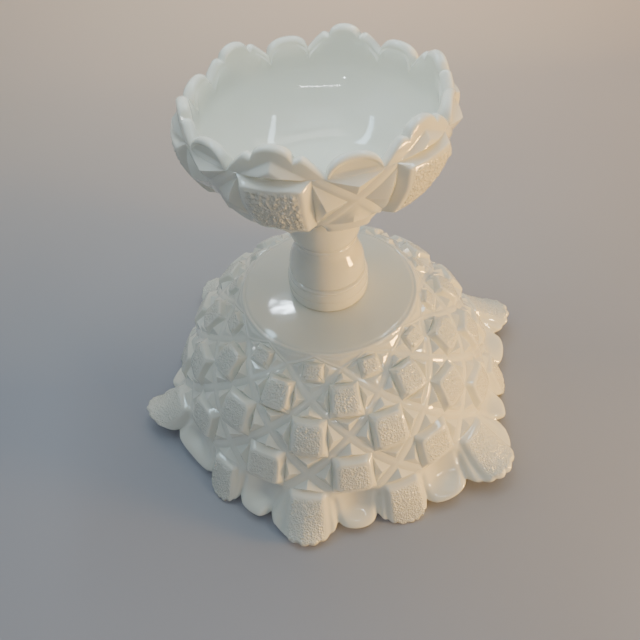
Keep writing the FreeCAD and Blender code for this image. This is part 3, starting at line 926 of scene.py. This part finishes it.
def build_foot(material):
    """The foot: its pattern, its rim, its round hollow and the plain part at the stem."""
    skin = Skin()
    raised = raised_from(foot_base, 1)
    skin.surface = raised
    add_foot_pattern(skin)
    wall = add_foot_rim(skin)
    start = FOOT_START + ROUND_START * FOOT_PITCH
    span = full_turn(start)
    target = ring_of(span, *FOOT_HOLLOW[0])
    target[:, 2] = np.minimum(target[:, 2], wall[:, 2] - 1.0)
    wall[:, 0] = span
    lower = ring_of(span, *FOOT_HOLLOW[2])
    skin.surface = turned_surface
    skin.grid([wall + (target - wall) * share for share in (0.0, 0.5, 1.0)])
    skin.grid([target, (target + lower) / 2, lower])
    add_turned(skin, FOOT_HOLLOW[2:], degrees_from=start)
    seam = as_turned(raised(seam_ring(FOOT_COLUMNS, FOOT_PATTERN_START, FOOT_BAND)))
    add_turned(skin, FOOT_NECK, degrees_from=start)
    skin.stitch(seam, ring_of(span, *FOOT_NECK[0]))
    return make_object("foot_shell", "foot", skin, material)


# ---------------- the stem

STEM_COLUMNS = 192

# Outlines are lists of (radius, level), from the bottom up.
BASE_OUTLINE = [
    (0, 79.9), (12.0, 79.9), (18.8, 79.9), (19.9, 80.1), (20.6, 80.8), (20.9, 82.0), (21.0, 84.0),
    (20.95, 86.6), (20.7, 86.95), (20.95, 87.3), (20.95, 89.6), (20.75, 91.3), (20.5, 92.0),
    (20.1, 92.25), (20.25, 92.7), (20.2, 93.4), (19.95, 93.8), (19.55, 94.0), (19.3, 94.3),
    (10.0, 94.3), (0, 94.3),
]
SPOOL_OUTLINE = [
    (0, 94.3), (10.0, 94.3), (18.9, 94.3), (19.2, 94.7), (19.25, 95.5), (19.2, 98.0),
    (19.05, 100.5), (18.6, 102.8), (17.9, 104.8), (17.0, 106.7), (16.1, 108.4), (15.45, 109.9),
    (15.1, 111.2), (15.0, 112.4), (15.1, 113.3), (15.0, 113.6), (8.0, 113.6), (0, 113.6),
]
KNOP_OUTLINE = [
    (0, 113.6), (8.0, 113.6), (15.0, 113.6), (15.45, 113.8), (15.65, 114.3), (15.65, 114.8),
    (15.45, 115.3), (15.1, 115.6), (15.15, 116.0), (15.8, 116.9), (16.6, 118.4), (17.25, 120.4),
    (17.7, 123.0), (17.95, 126.5), (18.0, 131.0), (17.9, 137.0), (17.8, 141.5), (17.8, 144.0),
    (9.0, 144.0), (0, 144.0),
]


def smoothed(outline):
    """Chaikin's corner cutting, which keeps the two ends."""
    points = [np.array(point, float) for point in outline]
    cut = [points[0]]
    for start, end in zip(points, points[1:]):
        cut += [start * 0.75 + end * 0.25, start * 0.25 + end * 0.75]
    return cut + [points[-1]]


def build_turned(name, node, outline, material):
    """A solid of revolution from its outline, which starts and ends on the axis."""
    skin = Skin()
    skin.surface = turned_surface
    span = np.linspace(0, 360, STEM_COLUMNS + 1)
    rows = [ring_of(span, radius, level) for radius, level in smoothed(outline[1:-1])]
    skin.grid(rows)
    close_middle(skin, rows[0], (0.0, 0.0, outline[0][1], 0.0))
    close_middle(skin, rows[-1], (0.0, 0.0, outline[-1][1], 0.0))
    return make_object(name, node, skin, material, smooth_degrees=50)


# ---------------- looks

GLASS = {
    "Base Color": (0.77, 0.77, 0.68, 1),
    "IOR": 1.52,
    "Specular IOR Level": 0.65,
    "Subsurface Weight": 0.45,
    "Subsurface Radius": (1.0, 0.95, 0.85),
    "Subsurface Scale": 0.0035,
}


def new_material(name):
    """A material with its shader and an empty tree round it."""
    material = bpy.data.materials.new(name)
    material.use_nodes = True
    return material, material.node_tree, material.node_tree.nodes["Principled BSDF"]


def add_node(tree, kind, inputs):
    """A node of the given kind with some of its inputs set."""
    node = tree.nodes.new("ShaderNode" + kind)
    for socket, value in inputs.items():
        node.inputs[socket].default_value = value
    return node


def milk_glass():
    """Opaque white pressed glass: glossy, a little light passing under the surface."""
    material, tree, shader = new_material(SLOT)
    link = tree.links.new
    for socket, value in GLASS.items():
        shader.inputs[socket].default_value = value
    place = add_node(tree, "TexCoord", {})
    grain = add_node(tree, "TexVoronoi", {"Scale": 1000.0})
    ripple = add_node(tree, "TexNoise", {"Scale": 60.0, "Detail": 2.0})
    strength = add_node(tree, "Attribute", {})
    strength.attribute_name = "stipple"
    amount = add_node(tree, "Math", {})
    amount.operation = "MULTIPLY"
    frosting = add_node(tree, "MapRange", {"To Min": 0.06, "To Max": 0.17})
    stipple = add_node(tree, "Bump", {"Strength": 1.0, "Distance": 0.0007})
    waves = add_node(tree, "Bump", {"Strength": 0.06, "Distance": 0.002})
    link(grain.outputs["Distance"], amount.inputs[0])
    link(strength.outputs["Fac"], amount.inputs[1])
    link(strength.outputs["Fac"], frosting.inputs["Value"])
    link(frosting.outputs["Result"], shader.inputs["Roughness"])
    link(place.outputs["Object"], grain.inputs["Vector"])
    link(place.outputs["Object"], ripple.inputs["Vector"])
    link(ripple.outputs["Fac"], waves.inputs["Height"])
    link(amount.outputs["Value"], stipple.inputs["Height"])
    link(waves.outputs["Normal"], stipple.inputs["Normal"])
    link(stipple.outputs["Normal"], shader.inputs["Normal"])
    return material


def painted_light_floor_material():
    """Matt paper with painted light: cooler and darker near the front, and a little warmer and lighter far
    behind, where warm light falls on the wall.
    """
    material, tree, shader = new_material("floor_painted_light")
    link = tree.links.new
    shader.inputs["Roughness"].default_value = 0.75
    place = add_node(tree, "TexCoord", {})
    split = add_node(tree, "SeparateXYZ", {})
    # Painted light: a front-to-back mask along Y that makes the sheet lighter and warmer towards the wall
    # behind.
    depth = add_node(tree, "MapRange", {"From Min": 0.0, "From Max": 0.60})
    cloud = add_node(tree, "TexNoise", {"Scale": 2.5})
    mixed = add_node(tree, "Mix", {0: 0.12})
    ramp = add_node(tree, "ValToRGB", {})
    # Painted light and shade: a darker, cooler grey at the front and a lighter warm beige behind, standing in
    # for warm light falling on the wall.
    ramp.color_ramp.elements[0].color = (0.285, 0.305, 0.355, 1)
    ramp.color_ramp.elements[1].color = (0.92, 0.76, 0.62, 1)
    link(place.outputs["Object"], split.inputs["Vector"])
    link(place.outputs["Object"], cloud.inputs["Vector"])
    link(split.outputs["Y"], depth.inputs["Value"])
    link(depth.outputs["Result"], mixed.inputs[2])
    link(cloud.outputs["Fac"], mixed.inputs[3])
    link(mixed.outputs[0], ramp.inputs["Fac"])
    link(ramp.outputs["Color"], shader.inputs["Base Color"])
    return material


FLOOR_CLEARANCE = 0.0002


def build_floor():
    """A sheet under the glass that turns up smoothly into a wall behind it."""
    half, front, back, rise, bend, steps = 1.6, -1.2, 0.75, 1.3, 0.35, 24
    outline = [(front, 0.0), (back - bend, 0.0)]
    for step in range(1, steps + 1):
        turn = math.radians(90 * step / steps)
        outline.append((back - bend + bend * math.sin(turn), bend - bend * math.cos(turn)))
    outline.append((back, rise))
    lowest = min(cad_low.z, 0.0) - FLOOR_CLEARANCE
    points = [(x, y, z + lowest) for x in (-half, half) for y, z in outline]
    count = len(outline)
    faces = [(index, index + count, index + count + 1, index + 1) for index in range(count - 1)]
    mesh = bpy.data.meshes.new("floor")
    mesh.from_pydata(points, [], faces)
    mesh.shade_smooth()
    mesh.materials.append(painted_light_floor_material())
    sheet = bpy.data.objects.new("floor", mesh)
    bpy.context.scene.collection.objects.link(sheet)


WORLD_COLOUR = (0.72, 0.83, 1.0, 1)
WORLD_STRENGTH = 0.09
MIDDLE = (0, 0, 0.09)

# Name, place, what it points at, width and height, power and colour.
LIGHTS = [
    ("window", (-0.091, 0.454, 0.595), (-0.025, -0.015, 0.08), (0.042, 0.009), 0.13, (0.78, 0.90, 1.0)),
    ("sky", (-0.42, 0.36, 0.95), MIDDLE, (0.80, 0.07), 2.0, (0.58, 0.84, 1.0)),
    ("overhead", (0.46, 0.16, 1.0), MIDDLE, (0.80, 0.07), 2.3, (0.70, 0.90, 1.0)),
    ("front_glint", (-0.07, -0.54, 0.56), MIDDLE, (0.50, 0.012), 0.62, (0.95, 0.97, 1.0)),
    ("fill_left", (-0.85, -0.05, 0.85), MIDDLE, (0.7, 0.7), 1.25, (0.70, 0.86, 1.0)),
    ("fill_front", (0.0, -0.14, 1.10), MIDDLE, (0.5, 0.5), 0.65, (0.80, 0.93, 1.0)),
    ("left_glint", (-0.30, -0.46, 0.42), MIDDLE, (0.03, 0.02), 0.12, (0.80, 0.93, 1.0)),
    ("wall_wash", (0.15, 0.30, 0.75), (0.0, 0.75, 0.15), (0.6, 0.3), 1.2, (1.0, 0.93, 0.84)),
    ("above_foot", (0.0, 0.01, 0.32), (0.0, 0.012, 0.15), (0.09, 0.09), 0.165, (0.86, 0.97, 1.0)),
    ("warm_side", (0.64, -0.24, 0.10), MIDDLE, (0.14, 0.12), 6.6, (1.0, 0.55, 0.12)),
    ("front_spark", (0.50, -0.44, 0.23), MIDDLE, (0.07, 0.05), 0.85, (1.0, 0.76, 0.45)),
]

# These light the glass but don't show as reflections in it.
NOT_REFLECTED = ["above_foot"]


def add_light(name, where, target, size, energy, colour):
    """A rectangular lamp that points at a target."""
    data = bpy.data.lights.new(name, "AREA")
    data.shape = "RECTANGLE"
    data.size, data.size_y = size
    data.energy = energy
    data.color = colour
    lamp = bpy.data.objects.new(name, data)
    lamp.location = where
    lamp.rotation_euler = (Vector(target) - Vector(where)).to_track_quat("-Z", "Y").to_euler()
    lamp.visible_glossy = name not in NOT_REFLECTED
    bpy.context.scene.collection.objects.link(lamp)


def build_light():
    """The faint light of the surroundings, and the lamps."""
    world = bpy.data.worlds.new("studio")
    bpy.context.scene.world = world
    world.use_nodes = True
    background = world.node_tree.nodes["Background"]
    background.inputs["Color"].default_value = WORLD_COLOUR
    background.inputs["Strength"].default_value = WORLD_STRENGTH
    for light in LIGHTS:
        add_light(*light)


# The camera's place in metres; then, in radians, how far it looks down, how far to the right, and
# how far it is turned about its own line of sight.
CAMERA_PLACE = (0.0, -0.1901, 0.2725)
CAMERA_DOWN = 0.8617
CAMERA_PAN = -0.0350
CAMERA_ROLL = -0.1000


def build_camera():
    """The viewpoint: above and in front, looking down at the foot and the bowl's near side."""
    level = math.cos(CAMERA_DOWN)
    ahead = Vector((math.sin(CAMERA_PAN) * level, math.cos(CAMERA_PAN) * level, -math.sin(CAMERA_DOWN)))
    right = ahead.cross(Vector((0, 0, 1))).normalized()
    up = right.cross(ahead)
    turned_right = math.cos(CAMERA_ROLL) * right + math.sin(CAMERA_ROLL) * up
    turned_up = -math.sin(CAMERA_ROLL) * right + math.cos(CAMERA_ROLL) * up
    data = bpy.data.cameras.new("camera")
    data.lens = 28.125
    data.sensor_width = 36
    data.clip_start = 0.005
    camera = bpy.data.objects.new("camera", data)
    camera.matrix_world = Matrix((
        (turned_right.x, turned_up.x, -ahead.x, CAMERA_PLACE[0]),
        (turned_right.y, turned_up.y, -ahead.y, CAMERA_PLACE[1]),
        (turned_right.z, turned_up.z, -ahead.z, CAMERA_PLACE[2]),
        (0, 0, 0, 1),
    ))
    bpy.context.scene.collection.objects.link(camera)
    bpy.context.scene.camera = camera


def build():
    """Everything: the five pieces of glass, then the floor, the lamps and the camera."""
    glass = milk_glass()
    build_bowl(glass)
    build_foot(glass)
    build_turned("stem_base_ring", "stem_base", BASE_OUTLINE, glass)
    build_turned("stem_spool_turning", "stem_spool", SPOOL_OUTLINE, glass)
    build_turned("stem_knop_turning", "stem_knop", KNOP_OUTLINE, glass)
    build_floor()
    build_light()
    build_camera()


build()
